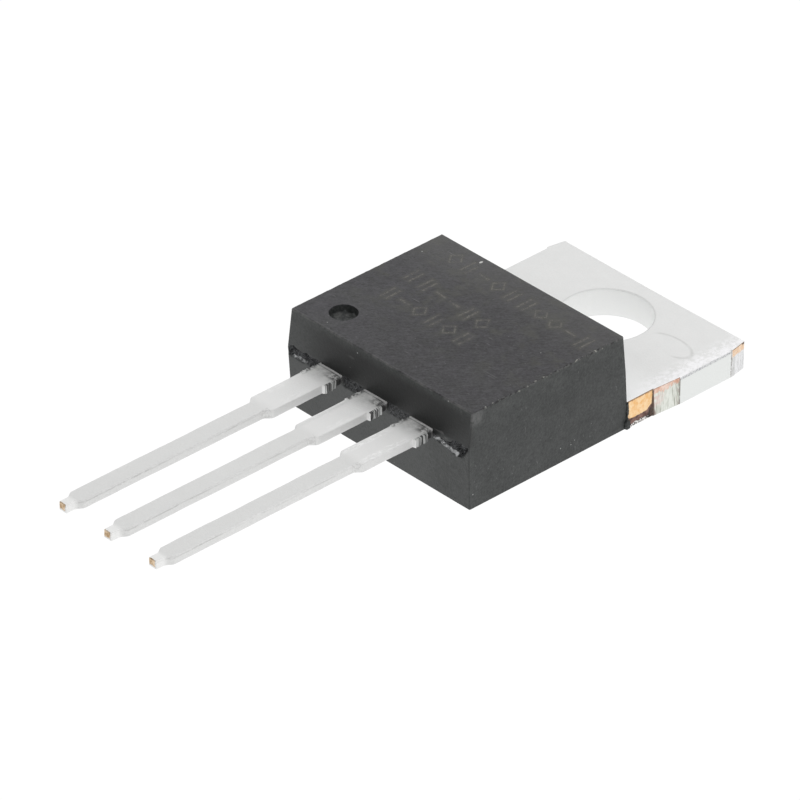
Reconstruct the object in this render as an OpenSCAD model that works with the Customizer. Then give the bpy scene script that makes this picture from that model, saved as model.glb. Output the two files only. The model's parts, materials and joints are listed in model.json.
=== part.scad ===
// Voltage regulator in a three-lead power package with a metal tab, lying on its mounting face.
// Millimetres. The origin is the centre of the mounting hole, on the mounting face at z = 0.
// +Y runs towards the free end of the tab, the leads run towards -Y, and +Z is up through the case.
// Seen from above with the leads towards the viewer: input lead left, ground in the middle, output right.

/* [Moulded case] */
// Width of the case at the mould's parting line
case_w = 10.2; // [8.5:0.05:12.4]
// Length of the case at the mould's parting line
case_l = 8.51; // [8:0.01:10.4]
// Height of the case above the mounting face
case_h = 4.44; // [3.7:0.02:5.4]
// Height of the parting line above the leads' underside
parting_up = 0.25; // [0:0.01:0.38]
// Draft of each long side, from the parting line to the top
side_draft_top = 0.02; // [0:0.01:0.3]
// Draft of each long side, from the parting line to the mounting face
side_draft_bottom = 0.08; // [0:0.01:0.3]
// Draft of the face that the leads leave, up to the top
lead_face_draft_top = 0.2; // [0:0.01:0.4]
// Draft of the face that the leads leave, down to the mounting face
lead_face_draft_bottom = 0.15; // [0:0.01:0.25]
// Draft of the face above the tab, from the tab up to the top
tab_face_draft = 0.31; // [0:0.01:0.6]
// Diameter of the round pin-one mark
dimple_d = 1.17; // [0.8:0.01:1.5]
// Depth of the pin-one mark
dimple_depth = 0.3; // [0.1:0.01:0.4]
// Distance of the mark's centre from the case's side
dimple_side_in = 1.63; // [1.2:0.01:2]
// Distance of the mark's centre from the face that the leads leave
dimple_lead_in = 1.46; // [1.2:0.01:2]

/* [Tab] */
// Thickness of the tab and of the metal header inside the case
tab_t = 1.27; // [1:0.01:1.55]
// How far each side of the tab stands out past the side of the case, where the tab is widest
tab_out = 0.09; // [0:0.01:0.3]
// Distance from the hole's centre to the tab's free end
tab_reach = 2.67; // [2.4:0.01:3.3]
// Diameter of the mounting hole
hole_d = 3.81; // [3.1:0.01:4.6]
// Distance from the hole's centre to the case
hole_to_case = 3.8; // [3.1:0.01:4.5]
// How far each side of the tab is set in along its sheared stretch beside the case
shear_in = 0.15; // [0:0.01:0.25]
// Length of that sheared stretch
shear_l = 1.4; // [0.8:0.01:1.6]
// How far each side is set in where the tie bar was cut off
tie_in = 0.11; // [0:0.01:0.3]
// Length of the cut tie bar's stub along the tab
tie_l = 1.35; // [0.8:0.01:1.6]
// How far each side draws in at the free end
corner_in = 0.15; // [0:0.01:0.4]
// Length over which the sides draw in at the free end
corner_l = 0.82; // [0.4:0.01:1.2]

/* [Header inside the case] */
// Width of the strip of moulding compound beside the metal, on the mounting face
side_strip = 1; // [0.7:0.02:1.5]
// How far the header's upper part reaches out over that strip, so that the compound grips it
lock_step = 0.25; // [0:0.01:0.35]
// Height of the narrow lower part of the header
lock_step_up = 0.6; // [0.3:0.01:0.8]
// Diameter of the round notches in the header's edges
notch_d = 0.9; // [0.5:0.01:1.2]
// Distance of the first pair of notches from the tab side of the case
notch_in = 2; // [1.6:0.02:2.4]
// Distance between the two pairs of notches
notch_pitch = 2.4; // [1.6:0.02:3]
// Width of the groove across the header's top
groove_w = 0.4; // [0.2:0.01:0.6]
// Depth of that groove
groove_depth = 0.2; // [0.1:0.01:0.4]
// Distance of the groove from the tab side of the case
groove_in = 1; // [0.6:0.01:1.2]

/* [Leads] */
// Distance between neighbouring leads' centres
lead_pitch = 2.54; // [2.1:0.01:3.1]
// How far the row of leads sits to the left of the case's middle
row_shift = 0.09; // [0:0.01:0.2]
// Thickness of the leads
lead_t = 0.38; // [0.3:0.01:0.5]
// Height of the leads' underside above the mounting face
lead_up = 2.49; // [2.05:0.01:2.8]
// Length of the leads outside the case
lead_l = 13.67; // [11.3:0.01:16.4]
// Width of the wide part of each lead
lead_wide = 1.27; // [1:0.01:1.5]
// Length of the wide part outside the case
lead_wide_l = 3.6; // [2.9:0.02:4.4]
// Length of the sloping shoulders below the wide part
shoulder_l = 0.3; // [0.1:0.01:0.6]
// Width of the narrow part of each lead
lead_narrow = 0.8; // [0.6:0.01:0.95]
// Width of the cut-off nub at the tip
nub_w = 0.4; // [0.2:0.01:0.5]
// Length of that nub
nub_l = 0.35; // [0.2:0.01:0.6]
// Length of the taper behind the nub
tip_taper_l = 0.3; // [0.1:0.01:0.6]
// Width across the stubs left by the cut dam bar
stub_w = 1.43; // [1.2:0.01:1.5]
// Length of those stubs along the lead
stub_l = 1; // [0.4:0.02:1.2]
// How far the trimming punch sat to the right of the leads' centres
trim_shift = 0.04; // [0:0.01:0.2]
// Flat stretch of each lead held in the case
lead_seat = 0.4; // [0.3:0.01:0.8]

/* [Riser and bonding posts] */
// Width of the sloping riser from the header up to the ground lead
riser_w = 1.7; // [1.4:0.02:2]
// Slope of the riser
riser_angle = 55; // [45:1:70]
// Gap between the riser and each bonding post
post_gap = 0.3; // [0.2:0.01:0.5]
// Compound left between each post and the side of the case
post_wall = 0.9; // [0.6:0.01:1.1]
// Length of each bonding post
post_l = 1; // [0.8:0.01:1.3]
// Diameter of the hole in each post that the compound fills
lock_hole_d = 0.5; // [0.3:0.01:0.6]

/* [Die and bond wires] */
// Width of the silicon die
die_w = 2.4; // [2:0.02:3]
// Length of the silicon die
die_l = 2; // [1.6:0.02:2.4]
// Thickness of the silicon die
die_t = 0.3; // [0.2:0.01:0.4]
// Distance from the header's lead end to the die
die_in = 1.4; // [1:0.02:1.8]
// Thickness of the solder under the die
solder_t = 0.05; // [0.03:0.01:0.1]
// How far the solder spreads past the die
solder_spread = 0.15; // [0.05:0.01:0.3]
// Diameter of the bond wires
wire_d = 0.25; // [0.2:0.01:0.3]
// Distance of the bond pads from the die's edges
pad_in = 0.4; // [0.3:0.01:0.5]
// Distance between the two output bonds, on the die
pad_pitch = 0.6; // [0.5:0.01:0.8]
// Distance of the first bond from the post's inner edge
post_bond_in = 0.6; // [0.5:0.01:0.7]
// Distance between the two output bonds, on the post
post_bond_pitch = 0.75; // [0.6:0.01:0.85]
// Rise of the long wire loops above a straight line between their ends
loop_rise = 0.7; // [0.4:0.01:0.8]
// Rise of the short ground wire's loop
ground_loop_rise = 0.45; // [0.3:0.01:0.5]
// Distance from the die to the ground wire's bond on the header
ground_bond_out = 0.9; // [0.7:0.01:1]

/* [Hidden] */
$fn = 64;

// Clearance by which a cutting shape runs past the face that it cuts
past = 1;
// How far the dam-bar stubs start inside the drafted face of the case
stub_root = 0.1;
// A bond's flattened foot, in wire diameters
foot_w = 1.5 * wire_d;
foot_l = 2.5 * wire_d;

tab_face_y = -hole_to_case;
lead_face_y = tab_face_y - case_l;
lead_top = lead_up + lead_t;
parting_z = lead_up + parting_up;

tab_w = case_w + 2 * tab_out;
header_w = case_w - 2 * side_strip;
riser_run = (lead_top - tab_t) / tan(riser_angle);
seat_y = lead_face_y + lead_seat;
header_y = seat_y + riser_run;
// A bend of this angle sets the strip's two faces off from each other by this much
bend_set = lead_t * tan(riser_angle / 2);

tip_y = lead_face_y - lead_l;
post_inner = riser_w / 2 + post_gap;
post_outer = case_w / 2 - post_wall;

die_y = header_y + die_in + die_l / 2;
die_top = tab_t + solder_t + die_t;
pad_y = die_y - die_l / 2 + pad_in;
pad_x = die_w / 2 - pad_in;
post_bond_y = seat_y + post_l / 2;

// Right-hand edge of a lead's outline about its own centre line, from the case out to the tip.
// stub_half is the half width where the dam bar was cut off.
function lead_edge(stub_half, inner_y) = [
    [lead_wide / 2, inner_y],
    [lead_wide / 2, lead_face_y + stub_root],
    [stub_half, lead_face_y + stub_root],
    [stub_half, lead_face_y - stub_l],
    [lead_wide / 2, lead_face_y - stub_l],
    [lead_wide / 2, lead_face_y - lead_wide_l],
    [lead_narrow / 2, lead_face_y - lead_wide_l - shoulder_l],
    [lead_narrow / 2, tip_y + nub_l + tip_taper_l],
    [nub_w / 2, tip_y + nub_l],
    [nub_w / 2, tip_y]
];

function mirrored(points) = [for (i = [len(points) - 1 : -1 : 0]) [-points[i].x, points[i].y]];

// Flat lead at the leads' height, from inner_y inside the case out to its tip
module lead_blank(centre_x, inner_y) {
    translate([centre_x, 0, lead_up])
        linear_extrude(lead_t)
            polygon(concat(
                lead_edge(stub_w / 2 + trim_shift, inner_y),
                mirrored(lead_edge(stub_w / 2 - trim_shift, inner_y))));
}

// Input or output lead: side is -1 for the input lead and 1 for the output lead
module outer_lead(side) {
    post_w = post_outer - post_inner;
    lead_blank(side * lead_pitch - row_shift, seat_y + post_l / 2);
    difference() {
        translate([side * (post_inner + post_w / 2) - post_w / 2, seat_y, lead_up])
            cube([post_w, post_l, lead_t]);
        translate([side * (post_outer - lock_hole_d), post_bond_y, lead_up - past])
            cylinder(d = lock_hole_d, h = lead_t + 2 * past);
    }
}

// Tab outside the case, with its sheared, trimmed and drawn-in sides
module tab_plate() {
    half = tab_w / 2;
    shear_end = tab_face_y + shear_l;
    edge = [
        [half - shear_in, tab_face_y],
        [half - shear_in, shear_end],
        [half - tie_in, shear_end],
        [half, shear_end + tie_l],
        [half, tab_reach - corner_l],
        [half - corner_in, tab_reach]
    ];
    linear_extrude(tab_t)
        polygon(concat(edge, mirrored(edge)));
}

// Thick metal under the die, stepped and notched so that the compound grips it
module header() {
    header_l = tab_face_y - header_y + past;
    upper_w = header_w + 2 * lock_step;
    difference() {
        union() {
            translate([-header_w / 2, header_y, 0])
                cube([header_w, header_l, tab_t]);
            translate([-upper_w / 2, header_y, lock_step_up])
                cube([upper_w, header_l, tab_t - lock_step_up]);
        }
        for (side = [-1, 1], row = [0, 1])
            translate([side * upper_w / 2, tab_face_y - notch_in - row * notch_pitch, lock_step_up])
                cylinder(d = notch_d, h = tab_t);
        translate([-case_w, tab_face_y - groove_in - groove_w / 2, tab_t - groove_depth])
            cube([2 * case_w, groove_w, groove_depth + past]);
    }
}

// Sloping strip from the header's top edge up to the ground lead's height
module riser() {
    strip_in = 0.3;
    rotate([90, 0, 90])
        translate([0, 0, -riser_w / 2])
            linear_extrude(riser_w)
                polygon([
                    [header_y + strip_in, tab_t],
                    [header_y, tab_t],
                    [seat_y, lead_top],
                    [seat_y - bend_set, lead_top],
                    [seat_y - bend_set, lead_up],
                    [header_y - bend_set, tab_t - lead_t],
                    [header_y + strip_in, tab_t - lead_t]
                ]);
}

module tab_and_ground_lead() {
    color("gainsboro")
        difference() {
            union() {
                tab_plate();
                header();
                riser();
                lead_blank(-row_shift, seat_y);
            }
            translate([0, 0, -past])
                cylinder(d = hole_d, h = tab_t + 2 * past);
        }
}

module input_lead() {
    color("gainsboro")
        outer_lead(-1);
}

module output_lead() {
    color("gainsboro")
        outer_lead(1);
}

module die_attach_solder() {
    spread = [die_w + 2 * solder_spread, die_l + 2 * solder_spread, solder_t];
    color("lightgrey")
        translate([-spread.x / 2, die_y - spread.y / 2, tab_t])
            cube(spread);
}

module silicon_die() {
    color("slategray")
        translate([-die_w / 2, die_y - die_l / 2, tab_t + solder_t])
            cube([die_w, die_l, die_t]);
}

// Round wire in one arc between two flat surfaces, with a flattened foot on each.
// start and end are the points on the surfaces; rise is the arc's height above its chord.
module bond_wire(start, end, rise) {
    run = norm([end.x - start.x, end.y - start.y]);
    lift = end.z - start.z;
    chord = norm([run, lift]);
    tilt = atan2(lift, run);
    radius = (chord * chord / 4 + rise * rise) / (2 * rise);
    half_turn = asin(chord / 2 / radius);
    below = radius - rise;
    color("silver")
        translate(start + [0, 0, wire_d / 2])
            rotate([0, 0, atan2(end.y - start.y, end.x - start.x)]) {
                rotate([90, 0, 0])
                    translate([run / 2 + below * sin(tilt), lift / 2 - below * cos(tilt), 0])
                        rotate([0, 0, 90 + tilt - half_turn])
                            rotate_extrude(angle = 2 * half_turn)
                                translate([radius, 0])
                                    circle(d = wire_d);
                for (foot = [[0, 0], [run, lift]])
                    translate([foot.x - foot_l / 2, -foot_w / 2, foot.y - wire_d / 2])
                        cube([foot_l, foot_w, wire_d]);
            }
}

module input_bond_wire() {
    post_x = post_inner + post_bond_in + post_bond_pitch / 2;
    bond_wire([-pad_x, pad_y, die_top], [-post_x, post_bond_y, lead_top], loop_rise);
}

module output_bond_wire() {
    post_x = post_inner + post_bond_in + post_bond_pitch;
    bond_wire([pad_x, pad_y, die_top], [post_x, post_bond_y, lead_top], loop_rise);
}

module output_sense_bond_wire() {
    post_x = post_inner + post_bond_in;
    bond_wire([pad_x - pad_pitch, pad_y, die_top], [post_x, post_bond_y, lead_top], loop_rise);
}

module ground_bond_wire() {
    die_end = die_y + die_l / 2;
    bond_wire([0, die_end - pad_in, die_top], [0, die_end + ground_bond_out, tab_t], ground_loop_rise);
}

// Outer form of the case: its side outline and its end outline carried through each other
module case_blank() {
    intersection() {
        rotate([90, 0, 90])
            translate([0, 0, -case_w])
                linear_extrude(2 * case_w)
                    polygon([
                        [lead_face_y + lead_face_draft_bottom, 0],
                        [tab_face_y, 0],
                        [tab_face_y, tab_t],
                        [tab_face_y - tab_face_draft, case_h],
                        [lead_face_y + lead_face_draft_top, case_h],
                        [lead_face_y, parting_z]
                    ]);
        rotate([90, 0, 0])
            linear_extrude(past - lead_face_y)
                polygon([
                    [side_draft_bottom - case_w / 2, 0],
                    [case_w / 2 - side_draft_bottom, 0],
                    [case_w / 2, parting_z],
                    [case_w / 2 - side_draft_top, case_h],
                    [side_draft_top - case_w / 2, case_h],
                    [-case_w / 2, parting_z]
                ]);
    }
}

// The compound is moulded round everything inside it, so their outlines are cut out of it exactly
module moulded_case() {
    color("#505052")
        difference() {
            case_blank();
            translate([dimple_side_in - case_w / 2, lead_face_y + dimple_lead_in, case_h - dimple_depth])
                cylinder(d = dimple_d, h = dimple_depth + past);
            tab_and_ground_lead();
            input_lead();
            output_lead();
            die_attach_solder();
            silicon_die();
            input_bond_wire();
            output_bond_wire();
            output_sense_bond_wire();
            ground_bond_wire();
        }
}

moulded_case();
tab_and_ground_lead();
input_lead();
output_lead();
silicon_die();
die_attach_solder();
input_bond_wire();
output_bond_wire();
output_sense_bond_wire();
ground_bond_wire();
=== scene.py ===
"""Voltage regulator: a black moulded case, a drilled metal tab and three tinned leads, round its CAD frame.

Shapes are worked out in millimetres, in the part's own frame: the origin is the centre of the mounting
hole on the mounting face, +Z is up through the case, and the leads run towards -Y.
"""
import json

import bmesh
import bpy
import numpy as np
from mathutils import Matrix, Vector


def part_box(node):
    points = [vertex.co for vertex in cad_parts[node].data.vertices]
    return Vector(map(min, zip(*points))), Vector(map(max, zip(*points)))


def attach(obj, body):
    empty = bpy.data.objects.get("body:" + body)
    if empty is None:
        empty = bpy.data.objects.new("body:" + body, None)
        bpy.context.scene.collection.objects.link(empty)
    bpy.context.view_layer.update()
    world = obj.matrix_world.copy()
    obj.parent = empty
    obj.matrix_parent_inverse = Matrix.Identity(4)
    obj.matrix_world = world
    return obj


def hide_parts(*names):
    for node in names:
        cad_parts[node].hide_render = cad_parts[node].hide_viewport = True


MM = 0.001

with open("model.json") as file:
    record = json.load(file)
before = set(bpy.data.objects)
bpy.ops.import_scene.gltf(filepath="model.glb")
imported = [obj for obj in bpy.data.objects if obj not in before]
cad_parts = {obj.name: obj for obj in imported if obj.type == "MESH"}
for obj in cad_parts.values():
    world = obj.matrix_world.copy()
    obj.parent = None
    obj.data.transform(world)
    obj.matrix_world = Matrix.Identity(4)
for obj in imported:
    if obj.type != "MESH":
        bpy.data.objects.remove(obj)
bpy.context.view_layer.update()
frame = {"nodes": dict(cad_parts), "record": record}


def box_mm(node):
    """Lowest and highest corner of a CAD node, in millimetres."""
    low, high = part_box(node)
    return np.array(low) / MM, np.array(high) / MM


# ---------------------------------------------------------------- sizes, in millimetres, from the frame
CASE_LOW, CASE_HIGH = box_mm("moulded_case")
METAL_HIGH = box_mm("tab_and_ground_lead")[1]
LEAD_LOW, LEAD_HIGH = box_mm("input_lead")
POST_HIGH = box_mm("output_lead")[1]
HOLE = next(mount for mount in frame["record"]["mounts"] if mount["name"] == "mounting_hole")["dims"]

HOLE_R = HOLE["r_mm"]
TAB_T = HOLE["length_mm"]
TAB_HALF = METAL_HIGH[0]
TAB_END_Y = METAL_HIGH[1]
CASE_HALF = CASE_HIGH[0]
CASE_H = CASE_HIGH[2]
LEAD_FACE_Y = CASE_LOW[1]
TAB_FACE_Y = CASE_HIGH[1]
TIP_Y = LEAD_LOW[1]
SEAT_Y = LEAD_HIGH[1] - 1.0
LEAD_UNDER = LEAD_LOW[2]
LEAD_TOP = LEAD_HIGH[2]
POST_OUTER = POST_HIGH[0]

# Sizes that the frame's boxes don't show
PITCH = 2.54
ROW_SHIFT = 0.09
PARTING_Z = LEAD_UNDER + 0.25
SIDE_DRAFT_BOTTOM = 0.08
SIDE_DRAFT_TOP = 0.02
LEAD_DRAFT_BOTTOM = 0.15
LEAD_DRAFT_TOP = 0.20
TAB_DRAFT = 0.31
DIMPLE_R = 0.585
DIMPLE_DEPTH = 0.3
DIMPLE_AT = (1.63 - CASE_HALF, LEAD_FACE_Y + 1.46)
SHEAR_END_Y = -2.40
TIE_END_Y = -1.05
CORNER_Y = 1.85
HEADER_HALF = CASE_HALF - 1.0
RISER_SLOPE = np.radians(55)
HEADER_END_Y = SEAT_Y + (LEAD_TOP - TAB_T) / np.tan(RISER_SLOPE)
LEAD_HALF = 0.635
NARROW_HALF = 0.40
NUB_HALF = 0.20
STUB_END = 1.0
STUB_LEFT = 0.675
STUB_RIGHT = 0.755
WIDE_END = 3.6
SHOULDER = 0.30
POST_INNER = 1.15
LOCK_HOLE_R = 0.25
CASE_ROUND = 0.05
LEAD_ROUND = 0.045
CELL = 0.86
STROKE_HALF = 0.42


# ---------------------------------------------------------------- shapes
def smooth(value, start, end):
    """0 at start, 1 at end, and 3t^2 - 2t^3 between them."""
    t = np.clip((np.asarray(value, float) - start) / (end - start), 0, 1)
    return t * t * (3 - 2 * t)


def window(value, low, high, soft):
    """1 between low and high, 0 outside, with edges `soft` wide."""
    up = smooth(value, low - soft / 2, low + soft / 2)
    down = smooth(value, high - soft / 2, high + soft / 2)
    return up * (1 - down)


def waves(points, size, seed, count=28):
    """Smooth roughness of unit strength: sum of sin(k . p + phase), with random k about 2 pi / size."""
    rng = np.random.default_rng(seed)
    k = rng.normal(size=(count, 3))
    k *= 2 * np.pi / size * rng.uniform(0.6, 1.5, (count, 1)) / np.linalg.norm(k, axis=1, keepdims=True)
    phase = rng.uniform(0, 2 * np.pi, count)
    return np.sin(points @ k.T + phase).sum(1) * np.sqrt(2 / count)


def spaced(start, end, step):
    """Evenly spaced coordinates from start to end, about a step apart."""
    return np.linspace(start, end, max(2, int(round((end - start) / step)) + 1))


def lines(*runs):
    """Rising coordinates through stretches (start, end, step), or through given arrays."""
    parts = [run if isinstance(run, np.ndarray) else spaced(*run) for run in runs]
    values = np.unique(np.round(np.concatenate(parts), 5))
    return values[np.concatenate([[True], np.diff(values) > 0.004])]


def edged(low, high, radius, *middle):
    """Grid lines from low to high, close together where the edges are rounded."""
    return lines((low, low + radius, radius / 4), *middle, (high - radius, high, radius / 4))


def grid_quads(rows, columns, closed=False):
    """Quads between neighbouring points of a grid; if closed, the last row and column join the first."""
    last = 0 if closed else 1
    r, c = np.meshgrid(np.arange(rows - last), np.arange(columns - last), indexing="ij")
    after_r, after_c = (r + 1) % rows, (c + 1) % columns
    corners = [r * columns + c, r * columns + after_c, after_r * columns + after_c, after_r * columns + c]
    return np.stack(corners, -1).reshape(-1, 4)


def block(xs, ys, zs, radius):
    """Closed box on the given grid lines with rounded edges: q + radius (p - q) / |p - q|, where q is the
    point p of the box held inside the box shrunk by the radius."""
    sides = []
    for axis, (us, vs) in enumerate(((ys, zs), (xs, zs), (xs, ys))):
        u, v = np.meshgrid(us, vs, indexing="ij")
        for level in (0, -1):
            flat = np.full(u.shape, (xs, ys, zs)[axis][level])
            points = np.stack(np.insert([u, v], axis, flat, axis=0), -1)
            sides.append((points.reshape(-1, 3), grid_quads(*u.shape)))
    start = np.cumsum([0] + [len(p) for p, _ in sides])
    points = np.concatenate([p for p, _ in sides])
    quads = np.concatenate([q + s for (_, q), s in zip(sides, start)])
    low, high = np.array([xs[0], ys[0], zs[0]]), np.array([xs[-1], ys[-1], zs[-1]])
    inner = np.clip(points, low + radius, high - radius)
    away = points - inner
    return inner + away * radius / np.linalg.norm(away, axis=1, keepdims=True), quads


def along(corners, steps):
    """Points of a closed outline through the corners, every `step` along the edge after each corner."""
    points = []
    for a, b, step in zip(corners, np.roll(corners, -1, axis=0), steps):
        count = max(1, int(round(np.linalg.norm(b - a) / step)))
        points.append(a + (b - a) * (np.arange(count) / count)[:, None])
    return np.concatenate(points)


def pierced_plate(outline, centre, hole_r, low, high, roll_top, roll_bottom=0.03, hole_roll=0.05):
    """Closed plate with a round hole: each point of the outline has a column that runs up the hole's wall,
    across the top, down the side and back below, with a quarter circle of radius roll at each edge."""
    outline = outline - centre
    reach = np.linalg.norm(outline, axis=1)
    ray = outline / reach[:, None]
    roll_top = np.broadcast_to(roll_top, reach.shape)
    quarter = np.linspace(0, np.pi / 2, 5)
    rows = []

    def row(distance, height):
        flat = centre + ray * np.broadcast_to(distance, reach.shape)[:, None]
        rows.append(np.column_stack([flat, np.broadcast_to(height, reach.shape)]))

    for height in np.linspace(low + 0.08, high - hole_roll - 0.02, 9):
        row(hole_r, height)
    for angle in quarter:
        row(hole_r + hole_roll * (1 - np.cos(angle)), high - hole_roll * (1 - np.sin(angle)))
    start, end = hole_r + hole_roll, reach - roll_top
    for t in np.linspace(0, 1, 30)[1:-1]:
        row(start + (end - start) * t, high)
    for angle in quarter:
        row(reach - roll_top * (1 - np.sin(angle)), high - roll_top * (1 - np.cos(angle)))
    for t in np.linspace(0, 1, 16)[1:-1]:
        row(reach, (high - roll_top) * (1 - t) + (low + roll_bottom) * t)
    for angle in quarter:
        row(reach - roll_bottom * (1 - np.cos(angle)), low + roll_bottom * (1 - np.sin(angle)))
    for t in np.linspace(0, 1, 9)[1:-1]:
        row((reach - roll_bottom) * (1 - t) + (hole_r + 0.06) * t, low)
    row(hole_r + 0.06, low)
    row(hole_r + 0.02, low + 0.02)
    return np.concatenate(rows), grid_quads(len(rows), len(reach), closed=True)


def solid(name, shells, finish, node):
    """One object from closed shells (points in mm, quads), shown in place of a CAD node."""
    start = np.cumsum([0] + [len(p) for p, _ in shells])
    points = np.concatenate([p for p, _ in shells]) * MM
    quads = np.concatenate([q + s for (_, q), s in zip(shells, start)])
    mesh = bpy.data.meshes.new(name)
    mesh.from_pydata(points.tolist(), [], quads.tolist())
    bm = bmesh.new()
    bm.from_mesh(mesh)
    bmesh.ops.remove_doubles(bm, verts=bm.verts, dist=2e-7)
    bmesh.ops.recalc_face_normals(bm, faces=bm.faces)
    bm.to_mesh(mesh)
    bm.free()
    mesh.shade_smooth()
    mesh.set_sharp_from_angle(angle=np.radians(40))
    mesh.materials.append(finish)
    piece = bpy.data.objects.new(name, mesh)
    bpy.context.scene.collection.objects.link(piece)
    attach(piece, "root")
    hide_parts(node)
    return piece


def drafted(points):
    """Leans the walls of the case's box in by their drafts, which run from the parting line both ways."""
    x, y, z = points.T
    below = np.clip(1 - z / PARTING_Z, 0, 1)
    above = np.clip((z - PARTING_Z) / (CASE_H - PARTING_Z), 0, 1)
    half = CASE_HALF - SIDE_DRAFT_BOTTOM * below - SIDE_DRAFT_TOP * above
    low = LEAD_FACE_Y + LEAD_DRAFT_BOTTOM * below + LEAD_DRAFT_TOP * above
    high = TAB_FACE_Y - TAB_DRAFT * np.clip((z - TAB_T) / (CASE_H - TAB_T), 0, 1)
    t = (y - LEAD_FACE_Y) / (TAB_FACE_Y - LEAD_FACE_Y)
    return np.column_stack([x * half / CASE_HALF, low + (high - low) * t, z])


def dimpled(points):
    """Sinks the pin-one mark: square rings of the top's grid are drawn into circles round its centre."""
    offset = points[:, :2] - DIMPLE_AT
    square = np.abs(offset).max(1)
    circle = np.maximum(np.linalg.norm(offset, axis=1), 1e-9)
    on_top = points[:, 2] > CASE_H - 0.1
    pull = np.where(on_top, 1 - smooth(square, 0.85, 1.25), 0)
    points[:, :2] = DIMPLE_AT + offset * (1 + pull * (square / circle - 1))[:, None]
    ratio = np.where(on_top, square / DIMPLE_R, 9)
    rough = 1 + 0.12 * waves(points, 0.35, 5)
    points[:, 2] -= DIMPLE_DEPTH * (1 - smooth(ratio, 0.93, 1.0)) * rough
    return points


def fractured(points):
    """Breaks the resin away where flash was trimmed off beside the leads: a ragged band, sunk along +Y."""
    x, y, z = points.T
    face = np.clip(1 - (y - LEAD_FACE_Y) / 0.25, 0, 1) > 0
    ragged = 0.05 * waves(points * [1, 0, 1], 0.45, 11) + 0.02 * waves(points * [1, 0, 1], 0.12, 12)
    left = window(x, -5.06, -3.2, 0.08)
    gaps = window(x, -1.98, -0.75, 0.1) * 0.55 + window(x, 0.56, 1.8, 0.1) * 0.3
    right = window(x, 3.12, 5.02, 0.06)
    dip = np.maximum(0.05 - 0.175 * (x - 3.04), 1.15 * (x - 4.58) - 0.25)
    lower = LEAD_UNDER + np.where(x > 2, dip, -0.07)
    upper = LEAD_TOP + np.where(x > 2, 0.2 * smooth(x, 3.9, 4.25) - 0.19, 0.0)
    band = window(z, lower + 0.4 * ragged, upper + 0.5 * ragged, 0.05)
    depth = 0.075 + 0.03 * waves(points, 0.3, 13) + 0.02 * waves(points, 0.11, 14)
    hollow = np.exp(-(((x - 4.62) / 0.26) ** 2 + ((z - 2.56) / 0.19) ** 2))
    pit = hollow * (0.09 + 0.04 * waves(points, 0.14, 15))
    sink = (left + gaps + right) * band * np.maximum(depth, 0.02) + pit
    points[:, 1] += np.where(face, np.clip(sink, 0, 0.22), 0)
    return points


def roughened(points):
    """Roughens the top's long edges, more on the right, and leaves the top very slightly uneven."""
    x, y, z = points.T
    burr = window(z, CASE_H - 0.07, CASE_H + 1, 0.02) * (np.abs(x) > CASE_HALF - 0.16)
    burr = burr * np.where(x > 0, 1, 0.5)
    points[:, 0] += np.sign(x) * burr * 0.007 * waves(points, 0.16, 21)
    points[:, 2] -= 0.007 + 0.004 * waves(points, 0.2, 22) * burr + 0.001 * waves(points, 3.0, 23)
    points[:, 2] = np.minimum(points[:, 2], CASE_H)
    return points


def bared(points):
    """Lifts the case's bottom a little, and more where the metal's flat back lies bare."""
    x, y, z = points.T
    metal_back = window(np.abs(x), -1, HEADER_HALF + 0.01, 0.03) * (y > HEADER_END_Y - 0.02)
    points[:, 2] = np.where(z < 0.03, np.maximum(z, 0) + 0.012 + 0.03 * metal_back, z)
    return points


def case_shell():
    """The case: a drafted box with worn edges, pin-one mark, trimmed flash and the metal's back bared."""
    rim = DIMPLE_R * np.array([0, .3, .55, .75, .86, .93, .955, .98, 1, 1.02, 1.06, 1.14, 1.3, 1.6, 2.0])
    rim = np.concatenate([-rim[::-1], rim])
    top_half = CASE_HALF - SIDE_DRAFT_TOP
    top_low, top_high = LEAD_FACE_Y + LEAD_DRAFT_TOP, TAB_FACE_Y - TAB_DRAFT
    mark_x = (DIMPLE_AT[0] + rim) * CASE_HALF / top_half
    mark_y = LEAD_FACE_Y + (DIMPLE_AT[1] + rim - top_low) * (TAB_FACE_Y - LEAD_FACE_Y) / (top_high - top_low)
    xs = edged(-CASE_HALF, CASE_HALF, CASE_ROUND, mark_x, (-CASE_HALF + 0.1, mark_x[0] - 0.04, 0.05),
               (mark_x[-1] + 0.04, CASE_HALF - 0.1, 0.05))
    ys = edged(LEAD_FACE_Y, TAB_FACE_Y, CASE_ROUND, mark_y, (LEAD_FACE_Y + 0.1, mark_y[0] - 0.04, 0.08),
               (mark_y[-1] + 0.04, TAB_FACE_Y - 0.1, 0.13))
    zs = edged(0, CASE_H, CASE_ROUND, (0.1, 2.1, 0.16), (2.15, 3.0, 0.03), (3.1, CASE_H - 0.12, 0.14))
    points, quads = block(xs, ys, zs, CASE_ROUND)
    points = bared(fractured(dimpled(roughened(drafted(points)))))
    return points, quads


def at(distance):
    """The y at a distance out from the case, along the leads."""
    return LEAD_FACE_Y - distance


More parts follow.
